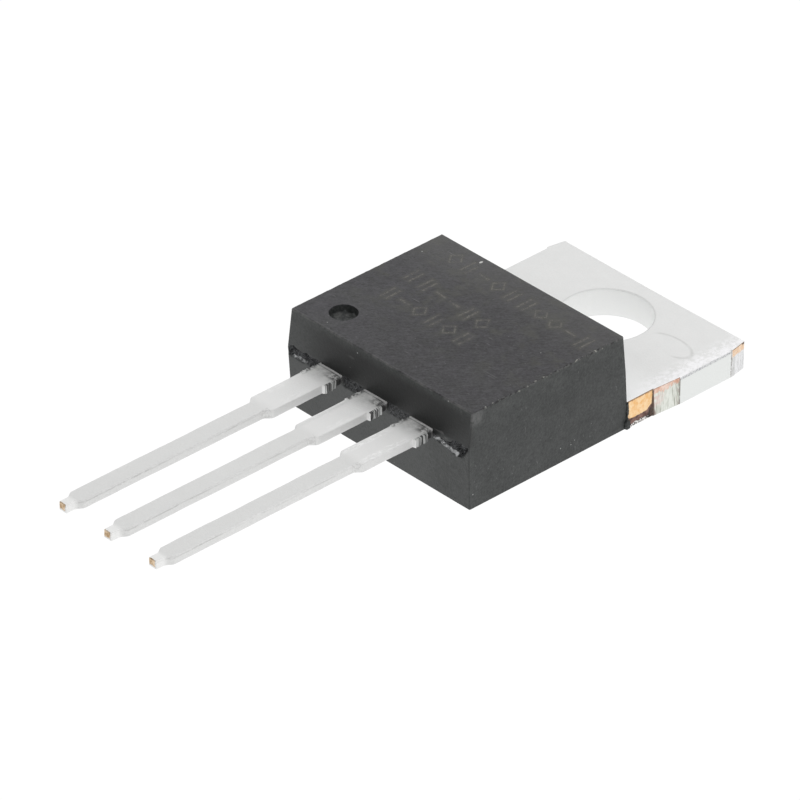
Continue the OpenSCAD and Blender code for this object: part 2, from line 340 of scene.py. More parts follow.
def lead_shell(middle, inner_y, riser=False):
    """A lead: a bar from inside the case to its tip, whose half width on each side is a smooth step function
    of y. The ground lead's inner end widens and slopes down to the header."""
    xs = edged(-LEAD_HALF, LEAD_HALF, LEAD_ROUND, (-LEAD_HALF + 0.09, LEAD_HALF - 0.09, 0.06))
    zs = edged(LEAD_UNDER, LEAD_TOP, LEAD_ROUND, (LEAD_UNDER + 0.08, LEAD_TOP - 0.08, 0.06))
    ys = edged(TIP_Y, inner_y, LEAD_ROUND, (TIP_Y + 0.06, TIP_Y + 1.1, 0.03), (TIP_Y + 1.2, at(4.4), 0.14),
               (at(4.35), at(3.4), 0.03), (at(3.3), at(1.2), 0.09), (at(1.1), at(0.9), 0.014),
               (at(0.88), at(0.0), 0.04), (at(-0.05), inner_y - LEAD_ROUND, 0.12))
    points, quads = block(xs, ys, zs, LEAD_ROUND)
    x, y, z = points.T
    narrow = smooth(y, at(WIDE_END - 0.06), at(WIDE_END + SHOULDER))
    nub = 1 - smooth(y, TIP_Y + 0.38, TIP_Y + 0.78)
    stub = smooth(y, at(STUB_END + 0.012), at(STUB_END - 0.012)) * (1 - smooth(y, at(0.38), at(0.28)))
    half = LEAD_HALF + (NARROW_HALF - LEAD_HALF) * narrow + (NUB_HALF - NARROW_HALF) * nub
    proud = np.where(x > 0, STUB_RIGHT, STUB_LEFT) - LEAD_HALF
    torn = 1 + 0.16 * waves(np.column_stack([y * 3 + middle, 0 * y, z * 0.1]), 0.35, 31)
    half = half + proud * stub * torn
    if riser:
        half = half + (0.85 - LEAD_HALF) * smooth(y, LEAD_FACE_Y + 0.15, SEAT_Y)
    wander = 0.006 * waves(np.column_stack([0 * x, y, 0 * z]), 3.5, 32 + int(middle > 1))
    points[:, 0] = middle + x * half / LEAD_HALF + wander
    rolled = np.exp(-((LEAD_HALF - np.abs(x)) / 0.11) ** 2) * smooth(y, at(0.2), at(1.3))
    droop = 0.05 * rolled * smooth(z, LEAD_TOP - 0.2, LEAD_TOP)
    points[:, 2] = np.clip(z - droop + 0.003 * waves(points, 1.1, 33), LEAD_UNDER, LEAD_TOP)
    if riser:
        slope = np.clip(y - SEAT_Y, 0, HEADER_END_Y + 0.25 - SEAT_Y)
        thick = 1 + smooth(y, SEAT_Y - 0.1, SEAT_Y + 0.1) * (1 / np.cos(RISER_SLOPE) - 1)
        points[:, 2] = LEAD_TOP - (LEAD_TOP - z) * thick - slope * np.tan(RISER_SLOPE)
    cut = window(y, TIP_Y - 1, TIP_Y + 0.02, 0.03)
    points[:, 1] += cut * np.clip(0.005 + 0.004 * waves(points, 0.16, 34), 0, 0.02)
    return points, quads


def tab_outline():
    """Outline of the header and the tab: each corner of the right side with the step to the next one, and the
    same mirrored. The tab starts inside the case and is narrower where it was sheared."""
    inside = TAB_FACE_Y - 0.06
    right = [(HEADER_HALF, HEADER_END_Y, 0.25), (HEADER_HALF, inside, 0.2), (TAB_HALF - 0.21, inside, 0.03),
             (TAB_HALF - 0.15, TAB_FACE_Y + 0.01, 0.03), (TAB_HALF - 0.15, SHEAR_END_Y, 0.01),
             (TAB_HALF - 0.11, SHEAR_END_Y + 0.015, 0.03), (TAB_HALF - 0.012, TIE_END_Y, 0.01),
             (TAB_HALF, TIE_END_Y + 0.015, 0.04), (TAB_HALF, CORNER_Y, 0.035),
             (TAB_HALF - 0.14, TAB_END_Y - 0.05, 0.02), (TAB_HALF - 0.19, TAB_END_Y, 0.12)]
    x, y, step = np.array(right).T
    corners = np.column_stack([x, y])
    mirrored = corners[::-1] * [-1, 1]
    back_step = np.append(step[-2::-1], step[0])
    return along(np.concatenate([corners, mirrored]), np.concatenate([step, back_step]))


def tab_shell():
    """The tab and the header under the case, in one plate with the mounting hole."""
    outline = tab_outline()
    end_edge = np.abs(outline[:, 0]) < TAB_HALF - 0.18
    roll = 0.02 + 0.10 * np.where(end_edge, 1, window(outline[:, 1], TIE_END_Y + 0.08, CORNER_Y - 0.06, 0.12))
    points, quads = pierced_plate(outline, np.zeros(2), HOLE_R, 0.0, TAB_T, roll)
    x, y, z = points.T
    outer = smooth(np.abs(x), TAB_HALF - 0.26, TAB_HALF - 0.18) * (y > TAB_FACE_Y)
    wall = outer * window(z, 0.03, TAB_T - 0.03, 0.03)
    lip = 0.40 + 0.07 * waves(points * [0, 1, 0], 0.5, 41)
    sheared = window(y, TAB_FACE_Y - 1, SHEAR_END_Y, 0.02)
    torn = sheared * (1 - smooth(z, lip - 0.04, lip + 0.04)) * (0.05 + 0.02 * waves(points, 0.16, 42))
    dragged = window(y, SHEAR_END_Y, TIE_END_Y, 0.02) + window(y, CORNER_Y, TAB_END_Y - 0.04, 0.02)
    ridges = dragged * np.minimum(0.008 * waves(np.column_stack([0 * x, y, z * 0.06]), 0.12, 43), 0.008)
    points[:, 0] -= np.sign(x) * wall * (np.clip(torn, 0, 0.1) - ridges)
    points[:, 0] = np.clip(points[:, 0], -TAB_HALF, TAB_HALF)
    edge = (y < TAB_FACE_Y) * (np.abs(np.abs(x) - HEADER_HALF) < 0.05)
    points[:, 0] += np.sign(x) * edge * (z > 0.6) * (z < TAB_T - 0.02) * 0.25
    return points, quads


def post_shell(side):
    """Bonding post at a lead's inner end, with its lock hole."""
    corners = np.array([[POST_INNER, SEAT_Y], [POST_OUTER, SEAT_Y],
                        [POST_OUTER, SEAT_Y + 1], [POST_INNER, SEAT_Y + 1]])
    outline = along(corners, [0.08] * 4) * [side, 1]
    centre = np.array([side * (POST_OUTER - 2 * LOCK_HOLE_R), SEAT_Y + 0.5])
    return pierced_plate(outline, centre, LOCK_HOLE_R, LEAD_UNDER, LEAD_TOP, 0.04, 0.03, 0.03)


def squeezed_shells():
    """Resin squeezed out where the tab leaves the case on the right: a bead at the bottom, a fin above."""
    bead = ((4.96, -3.90, 0.02), (5.15, -3.66, 0.40), 0.07, 0.012)
    fin = ((4.98, -3.83, 0.30), (5.10, -3.73, 1.24), 0.03, 0.008)
    shells = []
    for low, high, radius, rough in (bead, fin):
        grids = [edged(a, b, radius, (a + radius, b - radius, 0.03)) for a, b in zip(low, high)]
        points, quads = block(*grids, radius)
        shells.append((points + rough * waves(points, 0.15, 51)[:, None] * [1, 1, 0], quads))
    return shells


# ---------------------------------------------------------------- finishes
class Value:
    """An output of a node. Arithmetic on values and numbers adds Math nodes."""

    def __init__(self, finish, node, output=0):
        self.finish, self.node, self.socket = finish, node, node.outputs[output]

    def output(self, name):
        """Another output of the same node."""
        return Value(self.finish, self.node, name)

    def math(self, operation, *others):
        return self.finish.node("ShaderNodeMath", dict(enumerate((self, *others))), operation=operation)

    def __add__(self, other):
        return self.math("ADD", other)

    def __sub__(self, other):
        return self.math("SUBTRACT", other)

    def __mul__(self, other):
        return self.math("MULTIPLY", other)

    def __rsub__(self, other):
        return self * -1 + other

    def __truediv__(self, other):
        return self.math("DIVIDE", other)

    def __neg__(self):
        return self * -1

    __radd__, __rmul__ = __add__, __mul__

    def size(self):
        return self.math("ABSOLUTE")

    def low(self, other):
        return self.math("MINIMUM", other)

    def high(self, other):
        return self.math("MAXIMUM", other)

    def rise(self, start, end):
        """0 at start and 1 at end, eased; start may be the larger."""
        inputs = {"Value": self, "From Min": start, "From Max": end}
        return self.finish.node("ShaderNodeMapRange", inputs, interpolation_type="SMOOTHSTEP")

    def band(self, low, high, soft):
        return self.rise(low - soft / 2, low + soft / 2) * self.rise(high + soft / 2, high - soft / 2)


class Finish:
    """A procedural material whose patterns sit in the part's own millimetres."""

    def __init__(self, name):
        self.material = bpy.data.materials.new(name)
        self.material.use_nodes = True
        self.tree = self.material.node_tree
        self.shader = self.tree.nodes["Principled BSDF"]
        place = self.node("ShaderNodeTexCoord").output("Object")
        self.place = self.node("ShaderNodeVectorMath", {0: place, "Scale": 1 / MM}, operation="SCALE")
        axes = self.node("ShaderNodeSeparateXYZ", {0: self.place})
        self.x = axes
        self.y = axes.output("Y")
        self.z = axes.output("Z")

    def node(self, kind, inputs=None, output=0, **settings):
        node = self.tree.nodes.new(kind)
        for key, value in settings.items():
            setattr(node, key, value)
        for key, value in (inputs or {}).items():
            self.feed(node.inputs[key], value)
        return Value(self, node, output)

    def feed(self, socket, value):
        if isinstance(value, Value):
            self.tree.links.new(value.socket, socket)
        elif hasattr(value, "__len__"):
            socket.default_value = (*value, 1.0)[:len(socket.default_value)]
        else:
            socket.default_value = value

    def set(self, **inputs):
        """Feeds the shader's sockets and gives back the material."""
        for key, value in inputs.items():
            self.feed(self.shader.inputs[key.replace("_", " ")], value)
        return self.material

    def noise(self, size, detail=2.0, roughness=0.5, stretch=(1, 1, 1), shift=0.0, turn=0.0):
        """Noise between 0 and 1 with lumps of about `size` mm, longer along axes with a larger stretch."""
        place = self.place
        if turn:
            inputs = {"Vector": place, "Angle": np.radians(turn)}
            place = self.node("ShaderNodeVectorRotate", inputs, rotation_type="Z_AXIS")
        inputs = {0: place, 1: tuple(1 / (size * s) for s in stretch)}
        where = self.node("ShaderNodeVectorMath", inputs, operation="MULTIPLY")
        where = self.node("ShaderNodeVectorMath", {0: where, 1: (shift, shift, shift)}, operation="ADD")
        inputs = {"Vector": where, "Scale": 1.0, "Detail": detail, "Roughness": roughness}
        return self.node("ShaderNodeTexNoise", inputs)

    def specks(self, size, share, width):
        """Scattered dots, one in a share of the cells `size` mm wide."""
        cells = self.node("ShaderNodeTexVoronoi", {"Vector": self.place, "Scale": 1 / size})
        pick = self.node("ShaderNodeSeparateColor", {0: cells.output("Color")})
        return cells.rise(width, width * 0.5) * pick.rise(1 - share - 0.01, 1 - share)

    def mix(self, factor, a, b):
        return self.node("ShaderNodeMix", {0: factor, 6: a, 7: b}, output=2, data_type="RGBA")

    def paint(self, mask, color):
        """Lays a colour over the finish's colour so far, where the mask is 1."""
        self.color = self.mix(mask, self.color, color)

    def relief(self, height):
        """Bump from a height in millimetres."""
        return self.node("ShaderNodeBump", {"Strength": 1.0, "Distance": MM, "Height": height})

    def across_lead(self):
        """Distance in x from the middle of the nearest lead."""
        row_x = self.x + ROW_SHIFT
        return row_x - (row_x / PITCH).math("ROUND") * PITCH


class CaseFinish(Finish):
    """The case's finish, with the grain and the masks of faces and edges that its layers share."""

    def __init__(self, name):
        super().__init__(name)
        self.grain = self.noise(0.10, 3, 0.65)
        self.fine = self.noise(0.045, 2)
        self.rag = self.noise(0.16, 3, 0.65)
        self.top = self.z.rise(CASE_H - 0.05, CASE_H - 0.02)
        self.lead_side = self.y.rise(LEAD_FACE_Y + 0.32, LEAD_FACE_Y + 0.26)
        self.upper_wall = self.lead_side * self.z.rise(LEAD_TOP - 0.05, LEAD_TOP + 0.1)
        self.right_side = self.x.rise(CASE_HALF - 0.12, CASE_HALF - 0.07) * (1 - self.top)
        self.near_top = self.z.rise(CASE_H - 0.12, CASE_H - 0.04)
        self.from_side = CASE_HALF - SIDE_DRAFT_TOP - self.x.size()
        self.near_corner = self.right_side * self.y.rise(LEAD_FACE_Y + 0.95, LEAD_FACE_Y + 0.45)


def resin_tone(f):
    """Grainy charcoal with painted light on the leads' side, wiped slantwise on the top, olive in patches
    there and lighter towards the tab.
    """
    cloud = f.noise(1.1, 4, 0.6)
    lumps = f.noise(0.26, 3, 0.6, shift=27.0)
    tone = (cloud - 0.5) * 0.6 + (f.grain - 0.5) * 1.6 + (lumps - 0.5) * 0.7 + 0.5
    # Painted light: the leads' side is lightened, more at the left of its upper wall and on the wall below
    # the leads.
    under_leads = f.lead_side * f.z.rise(LEAD_UNDER + 0.05, LEAD_UNDER - 0.15) * f.x.rise(3.3, 2.4)
    on_wall = tone + f.lead_side * 0.12 + f.upper_wall * f.x.rise(-2.5, -4.9) * 0.3 + under_leads * 0.35
    wiped = f.noise(0.05, 3, 0.6, stretch=(9, 1, 4), turn=-46)
    on_top = tone + (wiped - 0.5) * 1.15 + f.x.rise(1.0, -4.0) * 0.18 - 0.14
    tint = f.noise(0.8, 3, 0.6, shift=15.0)
    dark = f.mix(tint, (0.009, 0.006, 0.011), (0.006, 0.007, 0.006))
    light = f.mix(tint, (0.062, 0.058, 0.070), (0.060, 0.062, 0.062))
    f.color = f.mix(on_wall, (0.002, 0.004, 0.0035), (0.051, 0.0545, 0.0535))
    f.paint(f.top, f.mix(on_top, dark, light))
    f.paint(f.top * tint.rise(0.50, 0.68) * f.y.rise(-11.0, -8.0) * 0.4, (0.056, 0.055, 0.042))
    towards_tab = f.y.rise(-7.5, -4.2) * (0.75 + f.x.rise(0.0, -4.0) * 0.25)
    f.paint(f.top * towards_tab * 0.32, (0.125, 0.124, 0.118))


def painted_shade_and_haze(f):
    """Painted shade in the middle of the wall above the leads, a painted shadow beside each lead, and pale
    haze under the right side's top edge.
    """
    # Painted shade: the middle of the upper wall darkened.
    middle = f.x.rise(-4.9, -2.5) * f.x.rise(7.5, 3.0) * f.z.rise(CASE_H, CASE_H - 0.5)
    f.paint(f.upper_wall * middle * 0.96, (0.006, 0.0065, 0.0065))
    # Painted shadow on the wall beside each lead's root.
    local = f.across_lead()
    at_lead_top = (f.z - LEAD_TOP + 0.16).size().rise(0.28, 0.05)
    shadow_beside_lead = f.lead_side * local.rise(0.55, 0.62) * local.rise(1.2, 0.7) * at_lead_top
    f.paint(shadow_beside_lead * 0.9, (0.003, 0.003, 0.003))
    clouds = f.noise(0.5, 4, 0.65, stretch=(1, 1.6, 1), shift=17.0).rise(0.45, 0.75)
    f.paint(f.right_side * f.z.rise(CASE_H - 1.3, CASE_H - 0.15) * clouds * 0.4, (0.085, 0.09, 0.085))


def broken_band(f):
    """Mask of the resin that fractured() sinks, and the height of the band's lower edge."""
    on_right = f.x.rise(1.9, 2.1)
    dip = (0.05 - 0.175 * (f.x - 3.04)).high(1.15 * (f.x - 4.58) - 0.25)
    lower = LEAD_UNDER - 0.07 + on_right * (dip + 0.07)
    upper = LEAD_TOP + on_right * (0.2 * f.x.rise(3.9, 4.25) - 0.19)
    left = f.x.rise(-3.15, -3.25)
    gaps = f.x.band(-1.95, -0.8, 0.1) + f.x.band(0.62, 1.75, 0.1) * 0.8
    right = f.x.rise(3.08, 3.12) * f.x.rise(5.08, 5.04)
    ragged = f.z + (f.rag - 0.5) * 0.12
    across = (ragged - lower).rise(-0.02, 0.02) * (ragged - upper).rise(0.03, 0.0)
    return f.lead_side * (left + gaps + right) * across, lower


def broken_resin(f, broken, crumbs, lower):
    """Dark crumbs in the broken band, partly painted shade of the sunk band, a painted highlight on the ledge
    along its lower edge, broken up by crumbs, and one painted highlight on a chip.
    """
    # Dark crumbs, partly painted shade of the sunk band.
    f.paint(broken, f.mix(crumbs.rise(0.44, 0.62), (0.007, 0.007, 0.008), (0.10, 0.105, 0.11)))
    # Painted highlight on the ledge under the band's lower edge, broken up by crumbs.
    along_edge = (f.z - lower + (f.rag - 0.5) * 0.05 - 0.05).size().rise(0.085, 0.035)
    lit_ledge = along_edge * (f.x.band(3.12, 4.45, 0.06) + f.x.band(-4.88, -4.05, 0.06) * 0.9)
    crumbled = f.noise(0.13, 3, 0.6, shift=2.0)
    ledge_highlight = f.mix(crumbled.rise(0.38, 0.66), (0.17, 0.175, 0.18), (0.72, 0.73, 0.74))
    f.paint(f.lead_side * lit_ledge * crumbled.rise(0.20, 0.48), ledge_highlight)
    # Painted highlight on one chip.
    chip_highlight = f.x.band(4.27, 4.42, 0.06) * (f.z + (f.x - 4.34) * 0.4).band(2.28, 2.42, 0.05)
    f.paint(f.lead_side * chip_highlight * 0.9, (0.72, 0.73, 0.74))


def rubbed_edges(f):
    """Mask of the top edges rubbed pale: the leads' side and the long sides, but not the near corner."""
    from_lead_side = f.y - (LEAD_FACE_Y + LEAD_DRAFT_TOP)
    edges = from_lead_side.rise(0.10, 0.0) * 0.55 + f.from_side.rise(0.07, 0.0) * 0.5
    return f.near_top * edges * f.noise(0.35, 3, 0.6, shift=7.0).rise(0.35, 0.7) * (1 - f.near_corner)


def edge_wear(f, rubbed):
    """Rubbed edges, a grey near corner, and dark and pale ticks along the right top edge."""
    f.paint(rubbed.low(1.0), (0.15, 0.15, 0.145))
    greyed = f.near_corner * f.z.rise(CASE_H - 0.8, CASE_H - 0.3) * f.rag.rise(0.2, 0.6)
    f.paint(greyed * 0.6, (0.13, 0.13, 0.13))
    on_right = f.x.rise(0, 1) * f.y.rise(LEAD_FACE_Y + 0.4, LEAD_FACE_Y + 0.9)
    ticks = f.near_top * f.from_side.rise(0.07, 0.02) * on_right
    dots = f.noise(0.09, 1, 0.5, stretch=(1, 1.8, 3), shift=3.0)
    f.paint(ticks * dots.rise(0.55, 0.62), (0.006, 0.006, 0.006))
    f.paint(ticks * dots.rise(0.36, 0.28), (0.34, 0.34, 0.30))


def etched_rows(f):
    """Distance from faint rows of generic strokes, diamonds and dashes, where a marking would sit. Each row
    has a start, a slope, a number of cells and the seed that picks a shape for each cell."""
    nearest = None
    for start_x, start_y, slope, cells, seed in ((-3.8, -4.95, -0.07, 10, 3.7), (-4.0, -7.0, -0.10, 6, 1.3),
                                                 (-3.7, -8.55, -0.04, 6, 8.1)):
        along_row = f.x - start_x
        across = ((f.y - start_y - along_row * slope) / STROKE_HALF).size()
        cell = along_row / CELL
        index = cell.math("FLOOR")
        local = ((cell - index - 0.5) * 2.4).size()
        choice = f.node("ShaderNodeTexWhiteNoise", {"W": index + seed}, noise_dimensions="1D")
        not_bars = choice.rise(0.45, 0.46)
        is_dash = choice.rise(0.78, 0.79)
        bars = (local - 0.42).size().high(across - 0.85)
        diamond = (local + across - 0.85).size()
        dash = across.high(local - 0.7)
        gap = bars * (1 - not_bars) + diamond * (not_bars - is_dash) + dash * is_dash
        gap = gap + (1 - cell.band(0, cells, 0.02)) * 9
        nearest = gap if nearest is None else nearest.low(gap)
    return nearest


def etching(f):
    """Paints the worn etched rows, with olive halos and dark grains, and gives the strokes' mask."""
    gap = etched_rows(f) + (f.grain - 0.5) * 0.5 + (f.fine - 0.5) * 0.3
    left_over = f.top * f.noise(0.35, 3, 0.7, shift=5.0).rise(0.25, 0.6)
    f.paint(gap.rise(0.55, 0.12) * left_over * 0.45, (0.072, 0.070, 0.056))
    etched = gap.rise(0.18, 0.04) * left_over * f.fine.rise(0.36, 0.58)
    f.paint(etched * 0.75, (0.165, 0.157, 0.138))
    f.paint(gap.rise(0.45, 0.2) * left_over * f.fine.rise(0.40, 0.30) * 0.6, (0.012, 0.012, 0.011))
    return etched


def small_marks(f):
    """One bright fleck, pale grains along the top's far edge, dust in the pin-one mark, specks and pits."""
    fleck_x = (f.x + 2.51) / 0.05
    fleck_y = (f.y + 4.44) / 0.09
    f.paint(f.top * (fleck_x * fleck_x + fleck_y * fleck_y).rise(1.4, 0.7) * 0.9, (0.62, 0.62, 0.60))
    far_edge_y = TAB_FACE_Y - TAB_DRAFT
    grains = f.top * f.y.rise(far_edge_y - 0.35, far_edge_y - 0.1) * f.fine.rise(0.56, 0.66)
    f.paint(grains * 0.5, (0.12, 0.12, 0.12))
    mark_x = f.x - DIMPLE_AT[0]
    mark_y = f.y - DIMPLE_AT[1]
    in_mark = (mark_x * mark_x + mark_y * mark_y).math("SQRT").rise(DIMPLE_R - 0.04, DIMPLE_R - 0.14)
    dust = f.noise(0.25, 4, 0.65, shift=19.0).rise(0.42, 0.62)
    f.paint(in_mark * f.z.rise(CASE_H - 0.2, CASE_H - 0.24) * dust * 0.6, (0.10, 0.10, 0.098))
    specks = f.specks(0.42, 0.08, 0.09) + f.specks(0.9, 0.06, 0.045) + f.specks(0.23, 0.05, 0.11) * 0.35
    f.paint(specks * 0.7, (0.42, 0.43, 0.42))
    f.paint(f.specks(0.3, 0.10, 0.13) * f.top * 0.8, (0.004, 0.004, 0.004))


def moulding_compound():
    """Charcoal epoxy: eroded grain, cloudy tone, pale specks, hair scratches, worn edges, broken resin."""
    f = CaseFinish("moulding_compound")
    broken, lower = broken_band(f)
    crumbs = f.noise(0.06, 3, 0.7, shift=4.0)
    rubbed = rubbed_edges(f)
    resin_tone(f)
    painted_shade_and_haze(f)
    broken_resin(f, broken, crumbs, lower)
    edge_wear(f, rubbed)
    etched = etching(f)
    small_marks(f)
    hairs = f.noise(0.05, 1, 0.5, stretch=(22, 2.2, 5), shift=9.0).rise(0.70, 0.76)
    scratches = hairs * f.noise(1.1, 2, shift=1.0).rise(0.45, 0.7)
    f.paint(scratches * 0.4, (0.2, 0.2, 0.2))
    height = (f.grain - 0.5) * 0.012 + (f.fine - 0.5) * 0.006 - etched * 0.006 - scratches * 0.004
    height = height + broken * (crumbs - 0.5) * 0.09
    roughness = 0.52 + (f.grain - 0.5) * 0.12 + broken * 0.15 - rubbed * 0.1
    return f.set(Base_Color=f.color, Roughness=roughness, Normal=f.relief(height))


class MetalFinish(Finish):
    """The plated metal's finish, with the noises, distances and masks that several of its layers share."""

    def __init__(self, name):
        super().__init__(name)
        self.mottle = self.noise(0.55, 4, 0.6)
        self.fine = self.noise(0.08, 3, 0.6)
        self.patch = self.noise(0.28, 4, 0.7, shift=6.0)
        self.ragged = self.noise(0.22, 4, 0.65, shift=8.0)
        self.streak = self.noise(0.055, 2, 0.6, stretch=(1, 1, 12), shift=1.0)
        self.speck = self.noise(0.06, 2, 0.6)
        self.out = LEAD_FACE_Y - self.y
        self.on_lead = self.out.rise(-0.4, -0.3)
        self.local = self.across_lead()
        narrow = self.out.rise(WIDE_END - 0.06, WIDE_END + SHOULDER)
        nub = self.y.rise(TIP_Y + 0.78, TIP_Y + 0.38)
        half = LEAD_HALF + (NARROW_HALF - LEAD_HALF) * narrow + (NUB_HALF - NARROW_HALF) * nub
        self.from_edge = half - self.local.size()
        side = self.x.size().rise(TAB_HALF - 0.31, TAB_HALF - 0.28)
        side = side * self.y.rise(TAB_FACE_Y - 0.5, TAB_FACE_Y - 0.4)
        self.side = side * self.z.rise(TAB_T - 0.003, TAB_T - 0.014) * self.z.rise(0.002, 0.01)
        self.sheared = self.side * self.y.rise(SHEAR_END_Y + 0.02, SHEAR_END_Y - 0.01)
        self.dragged = self.side * self.y.band(SHEAR_END_Y + 0.01, TIE_END_Y, 0.02)
        self.corner = self.side * self.y.rise(CORNER_Y - 0.08, CORNER_Y - 0.06)
        self.corner = self.corner * self.y.rise(TAB_END_Y, TAB_END_Y - 0.04)
        on_tab = self.y.rise(TAB_FACE_Y - 0.5, TAB_FACE_Y - 0.4)
        self.tab_top = self.z.rise(TAB_T - 0.1, TAB_T - 0.02) * on_tab
        self.tab_top = self.tab_top * (1 - (self.sheared + self.dragged + self.corner).low(1.0))


def lead_faces(f):
    """Leads a little darker than the tab, with painted light where wide and painted shade on their grainy
    walls, more there.
    """
    f.paint(f.on_lead * 0.10, (0.30, 0.30, 0.29))
    # Painted light: the wide part of each lead brightened.
    f.paint(f.out.band(0.9, WIDE_END, 0.6) * 0.45, (0.90, 0.90, 0.895))
    wall = f.from_edge.rise(0.045, 0.025) * f.out.rise(STUB_END + 0.02, STUB_END + 0.06)
    f.paint(wall * (0.04 + f.speck.rise(0.42, 0.62) * 0.24), (0.97, 0.97, 0.96))
    # Painted shade: the walls darkened, more on the wide part.
    f.paint(wall * (0.12 + f.out.rise(WIDE_END + 0.3, WIDE_END - 0.3) * 0.13), (0.50, 0.50, 0.495))


def lead_wear(f):
    """A broken dark line under the narrow part's top edge, a painted highlight in smears on the wide part,
    shoulder wrinkles.
    """
    # A broken dark line under the narrow part's top edge.
    dark_edge_line = f.from_edge.band(0.0, 0.06, 0.03) * f.z.band(LEAD_TOP - 0.12, LEAD_TOP - 0.05, 0.03)
    dark_edge_line = dark_edge_line * f.out.rise(WIDE_END, WIDE_END + 0.5)
    interrupted = f.noise(0.08, 3, 0.7, stretch=(1, 5, 1), shift=21.0).rise(0.36, 0.54)
    f.paint(dark_edge_line * interrupted * 0.7, (0.46, 0.46, 0.45))
    # Painted highlight: pale smears along the wide part's edge, strongest on the right lead.
    smear_highlight = f.out.band(1.3, 3.5, 0.8) * f.x.rise(1.4, 1.5) + f.out.band(1.9, 2.9, 0.5) * 0.4
    smear_highlight = smear_highlight.low(1.0) * f.from_edge.band(0.04, 0.30, 0.12) * f.on_lead
    smear_highlight = smear_highlight * f.noise(0.13, 4, 0.7, stretch=(1, 2.5, 1), shift=23.0).rise(0.45, 0.6)
    f.paint(smear_highlight * 0.85, (0.98, 0.98, 0.98))
    shoulder = f.out.band(WIDE_END, WIDE_END + 0.36, 0.12) * f.local.band(0.36, 0.60, 0.08) * f.on_lead
    wrinkle = (f.noise(0.3, 3, 0.6, stretch=(1.6, 0.8, 1), shift=31.0) - 0.5).size().rise(0.07, 0.01)
    f.paint(shoulder * wrinkle * 0.3, (0.35, 0.35, 0.34))


def lead_roots(f, grey, stub, torn):
    """Grey haze, dark stains and a thin bead where a lead leaves the case, and its torn stubs."""
    f.paint(grey * 0.6, (0.22, 0.22, 0.215))
    line = f.out.band(0.085, 0.13, 0.05) * 0.7
    right = f.out.band(0.1, 0.48, 0.2) * f.local.rise(-0.1, 0.5) * f.ragged.rise(0.36, 0.52)
    left = f.out.band(0.12, 1.0, 0.15) * f.local.rise(-0.40, -0.58) * f.ragged.rise(0.40, 0.54)
    f.paint((line + right + left).low(1.0) * f.patch.rise(0.28, 0.52) * f.on_lead * 0.9, (0.06, 0.06, 0.06))
    bead = f.out.band(0.0, 0.065, 0.03) * f.on_lead * f.patch.rise(0.3, 0.55)
    f.paint(bead * 0.35, (0.56, 0.56, 0.55))
    f.paint(stub, f.mix(torn.rise(0.44, 0.60), (0.07, 0.07, 0.07), (0.64, 0.65, 0.64)))
    shadow = f.out.rise(0.42, 0.30) * f.local.rise(LEAD_HALF - 0.06, LEAD_HALF - 0.01) * f.on_lead
    shadow = shadow * f.z.rise(LEAD_TOP - 0.02, LEAD_TOP - 0.12)
    f.paint(shadow * (0.75 + f.ragged.rise(0.6, 0.35) * 0.25), (0.025, 0.025, 0.025))


def sheared_zone(f, near_seam, torn_z):
    """Colour of the side next to the case: copper over a brown lip, crumbs at the bottom, a dark blot."""
    copper = f.mix(f.ragged.rise(0.3, 0.7), (0.87, 0.50, 0.19), (0.98, 0.74, 0.46))
    lip = f.mix(f.ragged.rise(0.3, 0.7), (0.075, 0.035, 0.03), (0.27, 0.15, 0.12))
    crumbs = f.mix(f.speck.rise(0.42, 0.56), (0.08, 0.075, 0.07), (0.95, 0.93, 0.90))
    at_bottom = (f.z + (f.ragged - 0.5) * 0.06 + near_seam * 0.05).rise(0.13, 0.09)
    at_top = (f.z + (f.speck - 0.5) * 0.16).rise(TAB_T - 0.10, TAB_T - 0.05)
    blot = f.y.rise(SHEAR_END_Y - 0.24, SHEAR_END_Y - 0.12) * (f.z + (f.ragged - 0.5) * 0.2).rise(0.46, 0.34)
    color = f.mix(torn_z.rise(0.37, 0.40), lip, copper)
    color = f.mix(at_bottom, color, crumbs)
    color = f.mix(at_top * 0.8, color, (0.22, 0.12, 0.08))
    return f.mix(blot, color, (0.035, 0.025, 0.02))


def dragged_zone(f):
    """Colour of the second zone: streaked tin, rosy by the seam, torn copper at the top and burnt streaks."""
    after_seam = f.y.rise(SHEAR_END_Y + 0.6, SHEAR_END_Y + 0.1) * f.z.rise(0.7, 0.2)
    dulled = f.y.rise(TIE_END_Y - 0.5, TIE_END_Y - 0.05) + after_seam
    color = f.mix(f.streak.rise(0.30, 0.60) + (1 - dulled) * 0.35, (0.34, 0.35, 0.28), (0.84, 0.86, 0.80))
    rosy = f.y.rise(SHEAR_END_Y + 0.75, SHEAR_END_Y + 0.15) * f.z.rise(0.25, 0.6) * f.ragged.rise(0.35, 0.6)
    color = f.mix(rosy * 0.7, color, (0.74, 0.50, 0.46))
    torn_z = f.z + (f.ragged - 0.5) * 0.5 + (f.streak - 0.5) * 0.35
    torn_z = torn_z - f.y.rise(SHEAR_END_Y + 0.4, TIE_END_Y) * 0.05
    torn_copper = f.mix(f.patch.rise(0.3, 0.7), (0.70, 0.38, 0.26), (0.95, 0.76, 0.66))
    color = f.mix(torn_z.rise(0.96, 1.06), color, torn_copper)
    at_end = f.y.rise(TIE_END_Y - 0.26, TIE_END_Y - 0.06) * f.streak.rise(0.5, 0.6) * 0.8
    at_start = f.y.rise(SHEAR_END_Y + 0.3, SHEAR_END_Y + 0.1) * f.z.rise(0.35, 0.15)
    at_start = at_start * f.streak.rise(0.45, 0.6)
    burnt = at_end + at_start + f.streak.rise(0.70, 0.74) * 0.5
    return f.mix(burnt.low(1.0), color, (0.20, 0.10, 0.07))


